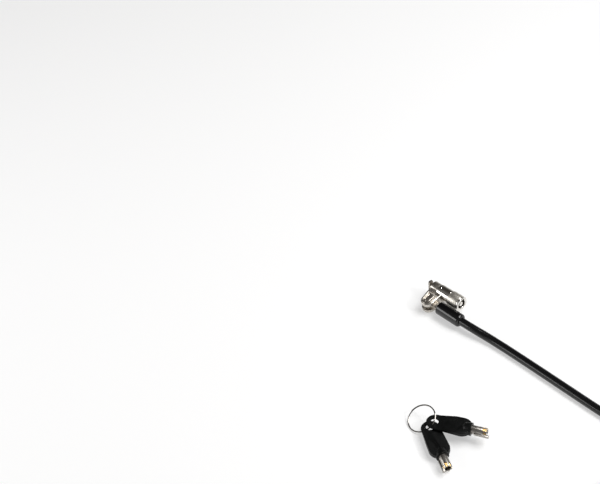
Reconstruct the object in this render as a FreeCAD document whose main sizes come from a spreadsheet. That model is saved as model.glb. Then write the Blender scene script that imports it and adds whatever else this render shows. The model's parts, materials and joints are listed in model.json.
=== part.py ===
import FreeCAD, Part
import math
import os
import re

import Sketcher

# Laptop cable lock. Millimetres. The origin is on the lock's axis where its nose meets the device,
# +X runs along the barrel away from the device, +Z is up. The table is tableDrop below the axis.

SIZES = {
    # where the lock stands
    "tableDrop": 7.4,
    "armRoll": 9.0,
    # nose, neck and barrel, along and about the lock's axis
    "noseRadius": 2.45,
    "washerRadius": 3.15,
    "washerThickness": 0.6,
    "neckStart": 5.3,
    "neckStep": 0.2,
    "neckEnd": 14.1,
    "barrelRadius": 4.6,
    "barrelLength": 6.9,
    "edgeChamfer": 0.25,
    "faceGroove": 0.25,
    "faceThickness": 1.05,
    "faceBevel": 0.55,
    "faceSpigot": 0.6,
    "spigotWall": 0.4,
    "barrelWall": 0.9,
    "cavityStart": 8.0,
    "keywayDepth": 5.4,
    "postSetBack": 0.4,
    "runningFit": 0.05,
    "looseFit": 0.15,
    # pins of the lock
    "pinRadius": 0.4,
    "pinBoreRadius": 0.45,
    "driverLength": 2.4,
    "keyPinStep": 0.25,
    "pinBoreDepth": 5.2,
    "springWall": 0.2,
    "blockPinRadius": 0.6,
    "blockPinDepth": 0.4,
    "blockPinPlace": 11.0,
    # spindle with its T-shaped end, and the pins beside it
    "spindleRadius": 1.0,
    "throatLength": 1.8,
    "headThickness": 1.4,
    "headWidth": 2.6,
    "headLength": 6.5,
    "tenonWidth": 1.4,
    "anchorRadius": 0.5,
    "anchorSpread": 1.8,
    "anchorReach": 1.4,
    "anchorDepth": 2.0,
    # clevis: fork arm with an eye round the nose
    "eyeLength": 5.25,
    "eyeRadius": 3.9,
    "clevisWidth": 9.6,
    "clevisStart": 2.0,
    "clevisReach": 14.9,
    "clevisEndRadius": 4.1,
    "clevisTop": 2.8,
    "clevisBottom": 4.6,
    "clevisEdge": 0.5,
    "plateThickness": 2.2,
    "forkWall": 1.75,
    "forkDepth": 6.3,
    "badgeLength": 8.4,
    "badgeWidth": 4.8,
    "badgeDepth": 0.3,
    "badgeThickness": 0.2,
    "badgeCentre": 8.9,
    "pivotPlace": 5.2,
    "pivotReach": 9.2,
    "pivotRadius": 1.2,
    # link and swivel
    "linkGap": 0.1,
    "linkWidth": 4.6,
    "linkLength": 7.65,
    "shankRadius": 1.35,
    "shankLength": 4.4,
    "collarRadius": 2.35,
    "collarLength": 1.8,
    "bootStart": 13.0,
    "bootLength": 17.0,
    "bootRadius": 4.0,
    "bootFrontWall": 0.2,
    "bootShoulder": 1.4,
    "ferruleRadius": 3.4,
    "ferruleLength": 12.2,
    "ferruleFrontWall": 2.15,
    "ferruleBore": 2.5,
    "ferruleWeb": 1.0,
    # cable
    "cableRadius": 2.5,
    "coilRadius": 27.55,
    "coilStep": 5.45,
    "coilLayerTurns": 2.0,
    "coilLayers": 4.0,
    "coilX": 204.5,
    "coilY": -40.4,
    "crimpLength": 12.0,
    "crimpHeight": 7.0,
    "strandSpread": 2.75,
    # keys and ring
    "ringRadius": 8.0,
    "ringWire": 0.4,
    "ringTilt": 25.0,
    "ringLean": 8.0,
    "ringHeight": 5.3,
    "bowLength": 25.4,
    "bowWidth": 11.6,
    "bowThickness": 2.8,
    "bowEdge": 0.5,
    "bowEndRadius": 5.2,
    "bowCollarRadius": 3.6,
    "bowCollarLength": 1.0,
    "bowShoulder": 4.6,
    "bowSeatWall": 0.5,
    "webThickness": 0.7,
    "webLength": 6.6,
    "bowTaperEnd": 17.0,
    "ringHoleRadius": 2.25,
    "ringHolePlace": 4.5,
    "keyStackGap": 0.6,
    "key1X": 68.25,
    "key1Y": -78.45,
    "key1Heading": 25.5,
    "key2X": 68.4,
    "key2Y": -78.0,
    "key2Heading": -28.0,
    "keyTubeRadius": 2.5,
    "keyTubeBore": 1.7,
    "keyClearance": 0.2,
    "keyTubeLength": 8.4,
    "keyTubeSeat": 4.0,
    "keyCoreSetBack": 4.6,
    "keyRibWidth": 1.3,
    "keyRibHeight": 0.8,
    "keyRibLength": 6.4,
    "keyFingerLength": 1.6,
    "keyCutRadius": 0.55,
    "keyCutBase": 1.6,
}
PIN_COUNT = 7
KEY_CODES = (1, 3, 2, 4, 1, 3, 2)

doc = FreeCAD.newDocument("CableLock")
sheet = doc.addObject("Spreadsheet::Sheet", "Sizes")
for row, (alias, value) in enumerate(SIZES.items(), start=1):
    sheet.set("A%d" % row, alias)
    sheet.set("B%d" % row, str(value))
    sheet.setAlias("B%d" % row, alias)
doc.recompute()


def bound(text):
    """The expression text with each size's name pointing into the sheet."""
    return re.sub(r"[A-Za-z]\w*", lambda word: "Sizes." + word.group(0) if word.group(0) in SIZES
                  else word.group(0), str(text))


def size(text):
    """The value of an expression in the sheet's sizes."""
    return float(sheet.evalExpression(bound(text)))


def vector(x, y, z=0.0):
    return FreeCAD.Vector(x, y, z)


def newBody(name):
    body = doc.addObject("PartDesign::Body", name)
    body.Label = name
    return body


def newSketch(body, role, lift="0"):
    """A sketch on one of the body's own planes, raised along that plane's normal by lift."""
    sketch = body.newObject("Sketcher::SketchObject", body.Name + "Sketch")
    plane = [item for item in body.Origin.OriginFeatures if item.Role == role][0]
    sketch.AttachmentSupport = [(plane, "")]
    sketch.MapMode = "FlatFace"
    if lift != "0":
        sketch.setExpression("AttachmentOffset.Base.z", bound(lift))
    return sketch


def fixPlace(sketch, shape, end, letter, text):
    """Hold the x or the y of one point of a sketch at an expression."""
    kind, axis = ("DistanceX", -2) if letter == "x" else ("DistanceY", -1)
    if abs(size(text)) < 1e-9:
        sketch.addConstraint(Sketcher.Constraint("PointOnObject", shape, end, axis))
    else:
        index = sketch.addConstraint(Sketcher.Constraint(kind, -1, 1, shape, end, size(text)))
        sketch.setExpression("Constraints[%d]" % index, bound(text))


def fixPoint(sketch, shape, end, x, y):
    fixPlace(sketch, shape, end, "x", x)
    fixPlace(sketch, shape, end, "y", y)


def drawOutline(sketch, corners, arcs=None):
    """A closed outline through corners. An edge in arcs is round: its middle point, then the letter
    and the value that fix the arc's centre across the chord."""
    arcs = arcs or {}
    spots = [vector(size(x), size(y)) for x, y in corners]
    count = len(corners)
    for number in range(count):
        start, finish = spots[number], spots[(number + 1) % count]
        if number in arcs:
            middle = vector(size(arcs[number][0]), size(arcs[number][1]))
            clockwise = (middle - start).cross(finish - start).z < 0
            sketch.addGeometry(Part.Arc(finish, middle, start) if clockwise
                               else Part.Arc(start, middle, finish))
        else:
            sketch.addGeometry(Part.LineSegment(start, finish))
    ends = []
    for number in range(count):
        shape = sketch.Geometry[number]
        forward = (shape.StartPoint - spots[number]).Length < 1e-6
        ends.append((1, 2) if forward else (2, 1))
    for number in range(count):
        follower = (number + 1) % count
        sketch.addConstraint(Sketcher.Constraint(
            "Coincident", number, ends[number][1], follower, ends[follower][0]))
        fixPoint(sketch, number, ends[number][0], *corners[number])
    for number, (_, _, letter, centre) in arcs.items():
        fixPlace(sketch, number, 3, letter, centre)


def drawCircle(sketch, x, y, radius):
    shape = sketch.addGeometry(Part.Circle(vector(size(x), size(y)), vector(0, 0, 1), size(radius)))
    fixPoint(sketch, shape, 3, x, y)
    index = sketch.addConstraint(Sketcher.Constraint("Radius", shape, size(radius)))
    sketch.setExpression("Constraints[%d]" % index, bound(radius))


def rectangle(left, right, low, high):
    return [(left, low), (right, low), (right, high), (left, high)]


def addPad(body, sketch, length):
    pad = body.newObject("PartDesign::Pad", body.Name + "Pad")
    pad.Profile = sketch
    pad.setExpression("Length", bound(length))
    doc.recompute()


def roundFaceEdges(body, radius, straightSide=None):
    """Round the edges of a pad's two faces, apart from the side at y = straightSide."""
    pad = body.Tip
    names = []
    for number, edge in enumerate(pad.Shape.Edges, start=1):
        box = edge.BoundBox
        spared = straightSide is not None and abs(box.YMin - size(straightSide)) < 1e-6
        if box.ZLength < 1e-6 and not spared:
            names.append("Edge%d" % number)
    fillet = body.newObject("PartDesign::Fillet", body.Name + "Rounding")
    fillet.Base = (pad, names)
    fillet.setExpression("Radius", bound(radius))
    doc.recompute()


def addPocket(body, sketch, length, along):
    """Cut along the sketch's normal when along is true, else against it."""
    doc.recompute()
    before = body.Shape.Volume
    pocket = body.newObject("PartDesign::Pocket", body.Name + "Pocket")
    pocket.Profile = sketch
    pocket.Reversed = along
    pocket.setExpression("Length", bound(length))
    doc.recompute()
    if body.Shape.Volume >= before:
        raise ValueError("a pocket of " + body.Name + " cuts nothing")
    return pocket


def addPattern(body, feature, count):
    """Repeat a cut round the body's X axis."""
    pattern = body.newObject("PartDesign::PolarPattern", body.Name + "Pattern")
    pattern.Originals = [feature]
    axis = [item for item in body.Origin.OriginFeatures if item.Role == "X_Axis"][0]
    pattern.Axis = (axis, [""])
    pattern.Angle = 360
    pattern.Occurrences = count
    body.Tip = pattern
    doc.recompute()


def addRevolution(body, corners, arcs=None, cut=False):
    """Turn a profile of (distance along X, radius) pairs about the body's X axis."""
    sketch = newSketch(body, "XY_Plane")
    drawOutline(sketch, corners, arcs)
    kind = "PartDesign::Groove" if cut else "PartDesign::Revolution"
    turned = body.newObject(kind, body.Name + "Turned")
    turned.Profile = sketch
    turned.ReferenceAxis = (sketch, ["H_Axis"])
    turned.Angle = 360
    doc.recompute()


def turnedBody(name, corners, arcs=None):
    body = newBody(name)
    addRevolution(body, corners, arcs)
    return body


def cylinderAlongX(name, radius, start, length, y="0", z="0"):
    """A round pin parallel to the lock's axis."""
    pin = doc.addObject("Part::Cylinder", name)
    pin.Label = name
    pin.setExpression("Radius", bound(radius))
    pin.setExpression("Height", bound(length))
    pin.Placement = FreeCAD.Placement(vector(0, 0, 0), FreeCAD.Rotation(vector(0, 1, 0), 90))
    pin.setExpression("Placement.Base.x", bound(start))
    pin.setExpression("Placement.Base.y", bound(y))
    pin.setExpression("Placement.Base.z", bound(z))
    return pin


def onCircle(radius, number, start=90.0):
    """Place number of a ring of pins or cuts round the X axis, the first one at the angle start."""
    angle = math.radians(start + 360 / PIN_COUNT * number)
    return "%s * %.9f" % (radius, math.cos(angle)), "%s * %.9f" % (radius, math.sin(angle))


def notchOutline(inner, outer):
    """The key's index notch, halfway between the first pin and the last one."""
    angle = math.radians(90 - 180 / PIN_COUNT)
    corners = []
    for reach, side in ((inner, -1), (outer, -1), (outer, 1), (inner, 1)):
        along, across = math.cos(angle), side * math.sin(angle)
        upward, aside = math.sin(angle), side * math.cos(angle)
        corners.append(("%s * %.9f - %s * %.9f" % (reach, along, NOTCH_HALF, across),
                        "%s * %.9f + %s * %.9f" % (reach, upward, NOTCH_HALF, aside)))
    return corners


BARREL_END = "(neckEnd + barrelLength)"
FACE_START = "(neckEnd + barrelLength + faceGroove)"
FACE_END = "(neckEnd + barrelLength + faceGroove + faceThickness)"
SHEAR = "(neckEnd + looseFit + runningFit)"
BLOCK_END = "(neckEnd + looseFit)"
KEYWAY_FLOOR = "(neckEnd + barrelLength + faceGroove - keywayDepth)"
ROTOR_END = "(neckEnd + barrelLength + faceGroove - runningFit)"
BORE = "(spindleRadius + runningFit)"
SPIGOT = "(barrelRadius - spigotWall)"
CAVITY = "(barrelRadius - barrelWall)"
NECK = "(barrelRadius - neckStep)"
KEYWAY_OUTER = "(keyTubeRadius + keyClearance)"
KEYWAY_INNER = "(keyTubeBore - keyClearance)"
PIN_CIRCLE = "((keyTubeRadius + keyTubeBore) / 2)"
NOTCH_REACH = "(keyTubeRadius + keyRibHeight + keyClearance)"
NOTCH_HALF = "((keyRibWidth + keyClearance) / 2)"
SLANT = math.sqrt(0.5)
armRotation = FreeCAD.Rotation(vector(1, 0, 0), size("armRoll"))
armPlacement = FreeCAD.Placement(vector(0, 0, 0), armRotation)


# lock body: neck, barrel and what is fixed in them

def makeNeck():
    neck = turnedBody("neck_housing", [
        ("0", BORE), ("0", "noseRadius"), ("neckStart", "noseRadius"),
        ("neckStart", NECK + " - edgeChamfer"), ("neckStart + edgeChamfer", NECK),
        ("neckEnd", NECK), ("neckEnd", CAVITY), ("cavityStart", CAVITY),
        ("cavityStart", BORE)])
    holes = newSketch(neck, "YZ_Plane")
    drawCircle(holes, "anchorSpread", "0", "anchorRadius")
    drawCircle(holes, "-anchorSpread", "0", "anchorRadius")
    addPocket(neck, holes, "anchorDepth", True)
    hole = newSketch(neck, "XY_Plane")
    drawCircle(hole, "blockPinPlace", "0", "blockPinRadius")
    addPocket(neck, hole, NECK + " * 2", False)


def makeAnchorPins():
    for number, side in ((1, "anchorSpread"), (2, "-anchorSpread")):
        cylinderAlongX("anchor_pin_%d" % number, "anchorRadius", "-anchorReach",
                       "anchorReach + anchorDepth", side)


def makeBarrel():
    turnedBody("retaining_washer", [
        ("0", "noseRadius"), ("0", "washerRadius"), ("washerThickness", "washerRadius"),
        ("washerThickness", "noseRadius")])
    turnedBody("barrel_shell", [
        ("neckEnd", CAVITY), ("neckEnd", "barrelRadius - edgeChamfer"),
        ("neckEnd + edgeChamfer", "barrelRadius"), (BARREL_END, "barrelRadius"),
        (BARREL_END, SPIGOT), (BARREL_END + " - faceSpigot", SPIGOT),
        (BARREL_END + " - faceSpigot", CAVITY)])
    face = turnedBody("face_ring", [
        (BARREL_END + " - faceSpigot", CAVITY), (BARREL_END + " - faceSpigot", SPIGOT),
        (FACE_START, SPIGOT), (FACE_START, "barrelRadius"),
        (FACE_END + " - faceBevel", "barrelRadius"), (FACE_END, "barrelRadius - faceBevel"),
        (FACE_END, KEYWAY_OUTER + " + edgeChamfer"), (FACE_END + " - edgeChamfer", KEYWAY_OUTER),
        (FACE_START, KEYWAY_OUTER), (FACE_START, CAVITY)])
    notch = newSketch(face, "YZ_Plane", FACE_END)
    drawOutline(notch, notchOutline(PIN_CIRCLE, NOTCH_REACH))
    addPocket(face, notch, "faceThickness", False)


def makePinBlock():
    block = turnedBody("pin_block", [
        ("cavityStart", BORE), ("cavityStart", CAVITY), (BLOCK_END, CAVITY),
        (BLOCK_END, BORE)])
    bore = newSketch(block, "YZ_Plane", BLOCK_END)
    drawCircle(bore, "0", PIN_CIRCLE, "pinBoreRadius")
    pocket = addPocket(block, bore, "pinBoreDepth", False)
    addPattern(block, pocket, PIN_COUNT)
    seat = newSketch(block, "XY_Plane", "blockPinDepth - " + CAVITY)
    drawCircle(seat, "blockPinPlace", "0", "blockPinRadius")
    addPocket(block, seat, "blockPinDepth * 2", False)
    pin = doc.addObject("Part::Cylinder", "block_pin")
    pin.Label = "block_pin"
    pin.setExpression("Radius", bound("blockPinRadius"))
    pin.setExpression("Height", bound("barrelWall - neckStep + blockPinDepth - looseFit"))
    pin.setExpression("Placement.Base.x", bound("blockPinPlace"))
    pin.setExpression("Placement.Base.z", bound("looseFit - " + NECK))


def makePinStacks():
    springLength = "(pinBoreDepth - driverLength)"
    for number in range(PIN_COUNT):
        y, z = onCircle(PIN_CIRCLE, number)
        cylinderAlongX("driver_pin_%d" % (number + 1), "pinRadius", BLOCK_END + " - driverLength",
                       "driverLength", y, z)
        cylinderAlongX("key_pin_%d" % (number + 1), "pinRadius", SHEAR,
                       "%s - %s + keyFingerLength + keyCutBase + keyPinStep * %d"
                       % (KEYWAY_FLOOR, SHEAR, KEY_CODES[number]), y, z)
        outside = cylinderAlongX("springOutside%d" % number, "pinRadius",
                                 BLOCK_END + " - pinBoreDepth", springLength, y, z)
        inside = cylinderAlongX("springInside%d" % number, "pinRadius - springWall",
                                BLOCK_END + " - pinBoreDepth", springLength, y, z)
        spring = doc.addObject("Part::Cut", "pin_spring_%d" % (number + 1))
        spring.Label = spring.Name
        spring.Base = outside
        spring.Tool = inside


# rotor: what the key turns

def makeRotor():
    rotor = turnedBody("rotor_plug", [
        (SHEAR, "0"), (SHEAR, CAVITY + " - runningFit"), (ROTOR_END, CAVITY + " - runningFit"),
        (ROTOR_END, KEYWAY_OUTER), (KEYWAY_FLOOR, KEYWAY_OUTER), (KEYWAY_FLOOR, "0")])
    tenon = newSketch(rotor, "YZ_Plane", SHEAR)
    drawOutline(tenon, rectangle("-tenonWidth / 2", "tenonWidth / 2", "-tenonWidth / 2",
                                 "tenonWidth / 2"))
    addPocket(rotor, tenon, "barrelLength", True)
    bore = newSketch(rotor, "YZ_Plane", SHEAR)
    drawCircle(bore, "0", PIN_CIRCLE, "pinBoreRadius")
    pocket = addPocket(rotor, bore, KEYWAY_FLOOR + " - " + SHEAR, True)
    addPattern(rotor, pocket, PIN_COUNT)
    slot = newSketch(rotor, "YZ_Plane", ROTOR_END)
    drawOutline(slot, notchOutline(PIN_CIRCLE, CAVITY))
    addPocket(rotor, slot, ROTOR_END + " - " + KEYWAY_FLOOR, False)
    turnedBody("centre_post", [
        (KEYWAY_FLOOR, "0"), (KEYWAY_FLOOR, KEYWAY_INNER),
        (FACE_END + " - postSetBack - edgeChamfer", KEYWAY_INNER),
        (FACE_END + " - postSetBack", KEYWAY_INNER + " - edgeChamfer"),
        (FACE_END + " - postSetBack", "0")])


def makeSpindle():
    spindle = turnedBody("tbar_spindle", [
        ("-throatLength", "0"), ("-throatLength", "spindleRadius"), (SHEAR, "spindleRadius"),
        (SHEAR, "0")])
    head = newSketch(spindle, "YZ_Plane", "-throatLength - headThickness")
    corner = "sqrt(headLength ^ 2 - headWidth ^ 2) / 2"
    drawOutline(head, rectangle("-headWidth / 2", "headWidth / 2", "-" + corner, corner),
                {0: ("0", "-headLength / 2", "y", "0"), 2: ("0", "headLength / 2", "y", "0")})
    addPad(spindle, head, "headThickness")
    tenon = newSketch(spindle, "YZ_Plane", SHEAR)
    drawOutline(tenon, rectangle("-tenonWidth / 2", "tenonWidth / 2", "-tenonWidth / 2",
                                 "tenonWidth / 2"))
    addPad(spindle, tenon, KEYWAY_FLOOR + " - " + SHEAR)


# clevis: an eye round the nose and a fork for the link, both tilted by the arm's roll

def makeClevis():
    clevis = newBody("clevis_block")
    block = newSketch(clevis, "XY_Plane", "-clevisBottom")
    endLeft = "clevisWidth - clevisEndRadius * 2"
    endLine = "clevisEndRadius - clevisReach"
    drawOutline(block, [
        ("0", "-clevisStart"), (endLeft, endLine), ("clevisWidth", endLine),
        ("clevisWidth", "-clevisStart")],
        {1: ("clevisWidth - clevisEndRadius", "-clevisReach", "y", endLine)})
    addPad(clevis, block, "clevisBottom + clevisTop")
    roundFaceEdges(clevis, "clevisEdge", "-clevisStart")
    addRevolution(clevis, [
        ("0", "noseRadius"), ("0", "eyeRadius"), ("eyeLength", "eyeRadius"),
        ("eyeLength", "noseRadius")])
    addRevolution(clevis, [
        ("-neckEnd", "0"), ("-neckEnd", "washerRadius + runningFit"),
        ("washerThickness + runningFit", "washerRadius + runningFit"),
        ("washerThickness + runningFit", "noseRadius + runningFit"),
        ("eyeLength", "noseRadius + runningFit"), ("eyeLength", NECK + " + looseFit"),
        ("neckEnd", NECK + " + looseFit"), ("neckEnd", "0")], cut=True)
    fork = newSketch(clevis, "XY_Plane", "plateThickness - clevisBottom")
    drawOutline(fork, rectangle("forkWall", "clevisWidth * 2", "-clevisReach * 2", "-forkDepth"))
    addPocket(clevis, fork, "clevisBottom + clevisTop - plateThickness * 2", True)
    hole = newSketch(clevis, "XY_Plane", "-clevisBottom")
    drawCircle(hole, "pivotPlace", "-pivotReach", "pivotRadius")
    addPocket(clevis, hole, "clevisBottom + clevisTop", True)
    badge = newSketch(clevis, "XY_Plane", "clevisTop - badgeDepth")
    drawBadge(badge)
    addPocket(clevis, badge, "badgeDepth * 2", True)
    clevis.Placement = armPlacement


def drawBadge(sketch):
    """The oval of the badge, long along the arm."""
    near = "(badgeLength - badgeWidth) / 2 - badgeCentre"
    far = "(badgeWidth - badgeLength) / 2 - badgeCentre"
    left, right = "pivotPlace - badgeWidth / 2", "pivotPlace + badgeWidth / 2"
    drawOutline(sketch, rectangle(left, right, far, near), {
        0: ("pivotPlace", "-badgeCentre - badgeLength / 2", "y", far),
        2: ("pivotPlace", "badgeLength / 2 - badgeCentre", "y", near)})


def makeClevisFittings():
    inlay = newBody("clevis_inlay")
    sketch = newSketch(inlay, "XY_Plane", "clevisTop - badgeDepth")
    drawBadge(sketch)
    addPad(inlay, sketch, "badgeThickness")
    inlay.Placement = armPlacement
    pin = newBody("pivot_pin")
    circle = newSketch(pin, "XY_Plane", "-clevisBottom")
    drawCircle(circle, "pivotPlace", "-pivotReach", "pivotRadius")
    addPad(pin, circle, "clevisBottom + clevisTop - badgeDepth")
    pin.Placement = armPlacement


# link and swivel, on the boot's axis, which meets the pivot pin in the middle of the fork

forkMiddle = (size("clevisTop") - size("clevisBottom")) / 2
linkHeight = "(clevisBottom + clevisTop - plateThickness * 2 - linkGap * 2)"
axisPoint = armRotation.multVec(vector(0, -size("pivotReach"), forkMiddle))
axisPlacement = FreeCAD.Placement(axisPoint, armRotation)
LINK_END = "(pivotPlace + linkLength)"
SHANK_END = "(pivotPlace + linkLength + shankLength)"
FERRULE_START = "(bootStart + bootFrontWall)"
POCKET_END = "(%s + linkGap)" % SHANK_END
FERRULE_END = "(bootStart + bootFrontWall + ferruleLength)"
BOOT_END = "(bootStart + bootLength)"


def makeLink():
    link = newBody("link_tongue")
    tongue = newSketch(link, "XY_Plane", "-%s / 2" % linkHeight)
    drawOutline(tongue, rectangle("pivotPlace", LINK_END, "-linkWidth / 2", "linkWidth / 2"),
                {3: ("pivotPlace - linkWidth / 2", "0", "x", "pivotPlace")})
    addPad(link, tongue, linkHeight)
    addRevolution(link, [
        (LINK_END + " - edgeChamfer", "0"), (LINK_END + " - edgeChamfer", "shankRadius"),
        (SHANK_END, "shankRadius"), (SHANK_END, "0")])
    hole = newSketch(link, "XY_Plane", "-%s" % linkHeight)
    drawCircle(hole, "pivotPlace", "0", "pivotRadius + runningFit")
    addPocket(link, hole, linkHeight + " * 2", True)
    link.Placement = axisPlacement
    collar = turnedBody("swivel_collar", [
        (SHANK_END + " - collarLength", "shankRadius"), (SHANK_END + " - collarLength", "collarRadius"),
        (SHANK_END, "collarRadius"), (SHANK_END, "shankRadius")])
    collar.Placement = axisPlacement


def makeBoot():
    ferrule = turnedBody("swivel_ferrule", [
        (FERRULE_START, "shankRadius + runningFit"), (FERRULE_START, "ferruleRadius"),
        (FERRULE_END, "ferruleRadius"), (FERRULE_END, "cableRadius"),
        (POCKET_END + " + ferruleWeb", "cableRadius"), (POCKET_END + " + ferruleWeb", "0"),
        (POCKET_END, "0"), (POCKET_END, "ferruleBore"),
        (FERRULE_START + " + ferruleFrontWall", "ferruleBore"),
        (FERRULE_START + " + ferruleFrontWall", "shankRadius + runningFit")])
    boot = turnedBody("cable_boot", [
        ("bootStart", "shankRadius + looseFit"), ("bootStart", "bootRadius - edgeChamfer"),
        ("bootStart + edgeChamfer", "bootRadius"), (BOOT_END + " - bootShoulder", "bootRadius"),
        (BOOT_END, "bootRadius - bootShoulder"), (BOOT_END, "cableRadius"),
        (FERRULE_END, "cableRadius"), (FERRULE_END, "ferruleRadius"),
        (FERRULE_START, "ferruleRadius"), (FERRULE_START, "shankRadius + looseFit")],
        {3: (BOOT_END + " - bootShoulder * %.9f" % (1 - SLANT),
             "bootRadius - bootShoulder * %.9f" % (1 - SLANT), "y", "bootRadius - bootShoulder")})
    end = turnedBody("cable_end", [
        (POCKET_END + " + ferruleWeb", "0"), (POCKET_END + " + ferruleWeb", "cableRadius"),
        (BOOT_END, "cableRadius"), (BOOT_END, "0")])
    for body in (ferrule, boot, end):
        body.Placement = axisPlacement


# cable: a tube laid by hand, a coil of piled loops, a tail and a loop at the end

cableRadius = size("cableRadius")
layHeight = cableRadius - size("tableDrop")


def roundedRoute(points, name):
    """Straight runs joined by tangent arcs, each as large as its two runs allow."""
    edges = []
    last = points[0]
    radii = []
    for before, corner, after in zip(points, points[1:], points[2:]):
        back, ahead = before - corner, after - corner
        reach = 0.45 * min(back.Length, ahead.Length)
        half = (math.pi - back.getAngle(ahead)) / 2
        radii.append(reach / math.tan(half))
        start, finish = corner + back.normalize() * reach, corner + ahead.normalize() * reach
        inward = (start + finish) * 0.5 - corner
        gap = radii[-1] / math.cos(half) - radii[-1]
        edges.append(Part.LineSegment(last, start).toShape())
        edges.append(Part.Arc(start, corner + inward.normalize() * gap, finish).toShape())
        last = finish
    edges.append(Part.LineSegment(last, points[-1]).toShape())
    print(name, "radii", [round(radius, 1) for radius in radii])
    return edges


def makeTube(name, edges):
    """A round tube along the edges, its volume compared with its section times its length."""
    path = Part.Wire(edges)
    first = edges[0]
    start = first.valueAt(first.FirstParameter)
    tangent = first.tangentAt(first.FirstParameter)
    section = Part.Wire(Part.Circle(start, tangent, cableRadius).toShape())
    tube = doc.addObject("Part::Feature", name)
    tube.Label = name
    tube.Shape = path.makePipeShell([section], True, False)
    wanted = math.pi * cableRadius ** 2 * path.Length
    print("%s length %.1f volume %.1f, section times length %.1f"
          % (name, path.Length, tube.Shape.Volume, wanted))
    return path.Length


def arcFrom(start, tangent, finish):
    """The arc that leaves start along tangent and ends at finish."""
    chord = finish - start
    aside = chord - tangent * chord.dot(tangent)
    if aside.Length < 1e-6:
        return Part.LineSegment(start, finish).toShape()
    aside = aside.normalize()
    radius = chord.dot(chord) / (2 * chord.dot(aside))
    centre = start + aside * radius
    outward = ((start + finish) * 0.5 - centre).normalize()
    return Part.Arc(start, centre + outward * radius, finish).toShape()


def biarc(start, startTangent, finish, finishTangent):
    """Two arcs that meet smoothly between two points with given directions."""
    span = finish - start
    both = startTangent + finishTangent
    spread = 2 * (1 - startTangent.dot(finishTangent))
    lean = span.dot(both)
    arm = span.dot(span) / (2 * lean) if spread < 1e-9 else (
        math.sqrt(lean ** 2 + spread * span.dot(span)) - lean) / spread
    joint = (start + finish + (startTangent - finishTangent) * arm) * 0.5
    return [arcFrom(start, startTangent, joint), arcFrom(finish, finishTangent * -1, joint)]


coilStep = size("coilStep")
layerTurns = size("coilLayerTurns")
layers = int(size("coilLayers"))
coilCentre = vector(size("coilX"), size("coilY"), layHeight)


def coilPoint(turns):
    """The cable's centre in the coil after a number of turns: in and out again, layer by layer, from
    the top layer down to the table."""
    layer, along = divmod(turns, layerTurns)
    inward = along if int(layer) % 2 == 0 else layerTurns - along
    radius = size("coilRadius") + coilStep * (layerTurns / 2 - inward)
    nearest = round(turns / layerTurns)
    drop = nearest
    if 0 < nearest < layers:
        share = min(max((turns - nearest * layerTurns) / 0.5 + 0.5, 0.0), 1.0)
        drop = nearest - 1 + share * share * (3 - 2 * share)
    elif nearest == layers:
        drop = layers - 1
    angle = 2 * math.pi * (0.25 - turns)
    height = coilStep * (layers - 1 - drop)
    return coilCentre + vector(radius * math.cos(angle), radius * math.sin(angle), height)


def coilTangent(turns, side):
    """The cable's direction there, taken from the given side of the point."""
    return (coilPoint(turns + side) - coilPoint(turns)).normalize() * (1 if side > 0 else -1)


def leastCoilGap(points):
    """The least gap between turns, from points far enough apart along the cable."""
    least = 1e9
    apart = 24
    for number, spot in enumerate(points):
        for other in points[number + apart:]:
            least = min(least, (spot - other).Length)
    return least - cableRadius * 2


def makeCoil():
    total = layers * layerTurns
    nudge = 1e-4
    quarter = 0.25
    stops = [quarter * step for step in range(int(round(total / quarter)) + 1)]
    startTangent = coilTangent(0, nudge)
    endTangent = coilTangent(total, -nudge)
    lead = cableRadius * 2
    leadStart = coilPoint(0) - startTangent * lead
    edges = [Part.LineSegment(leadStart, coilPoint(0)).toShape()]
    for begin, finish in zip(stops, stops[1:]):
        beginTangent = startTangent if begin == 0 else smoothTangent(begin)
        finishTangent = endTangent if finish == total else smoothTangent(finish)
        first, second = biarc(coilPoint(begin), beginTangent, coilPoint(finish), finishTangent)
        edges.extend([first, second])
    tailStart = coilPoint(total) + endTangent * lead
    edges.append(Part.LineSegment(coilPoint(total), tailStart).toShape())
    length = makeTube("cable_coil", edges)
    gap = leastCoilGap([coilPoint(total * step / 700) for step in range(700)])
    print("coil least gap %.2f" % gap)
    return leadStart, startTangent, tailStart, endTangent, length


def smoothTangent(turns):
    nudge = 0.01
    return (coilPoint(turns + nudge) - coilPoint(turns - nudge)).normalize()


def makeRun(leadStart, startTangent):
    """From the boot along the table, then up onto the coil."""
    boot = axisPoint + vector(size(BOOT_END), 0, 0)
    straightOut, lastRun = 7.5, 18.5
    points = [
        boot,
        boot + vector(straightOut, 0, 0),
        vector(50, -6.75, 0.35 + layHeight),
        vector(68, -6.55, layHeight),
        vector(102, -7.35, layHeight),
        vector(129, -8.1, layHeight),
        vector(152, -8.0, layHeight),
        leadStart - startTangent * lastRun,
        leadStart,
    ]
    return makeTube("cable_run", roundedRoute(points, "cable_run"))


def makeTail(tailStart, endTangent):
    firstRun = 13.0
    crimpLift = size("crimpHeight") / 2 - cableRadius
    points = [
        tailStart,
        tailStart + endTangent * firstRun,
        vector(237, -10.5, layHeight + crimpLift / 2),
        vector(247, -21.5, layHeight + crimpLift),
        vector(249.5, -30.5, layHeight + crimpLift),
    ]
    length = makeTube("cable_tail", roundedRoute(points, "cable_tail"))
    return points[-1], (points[-1] - points[-2]).normalize(), length


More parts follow.
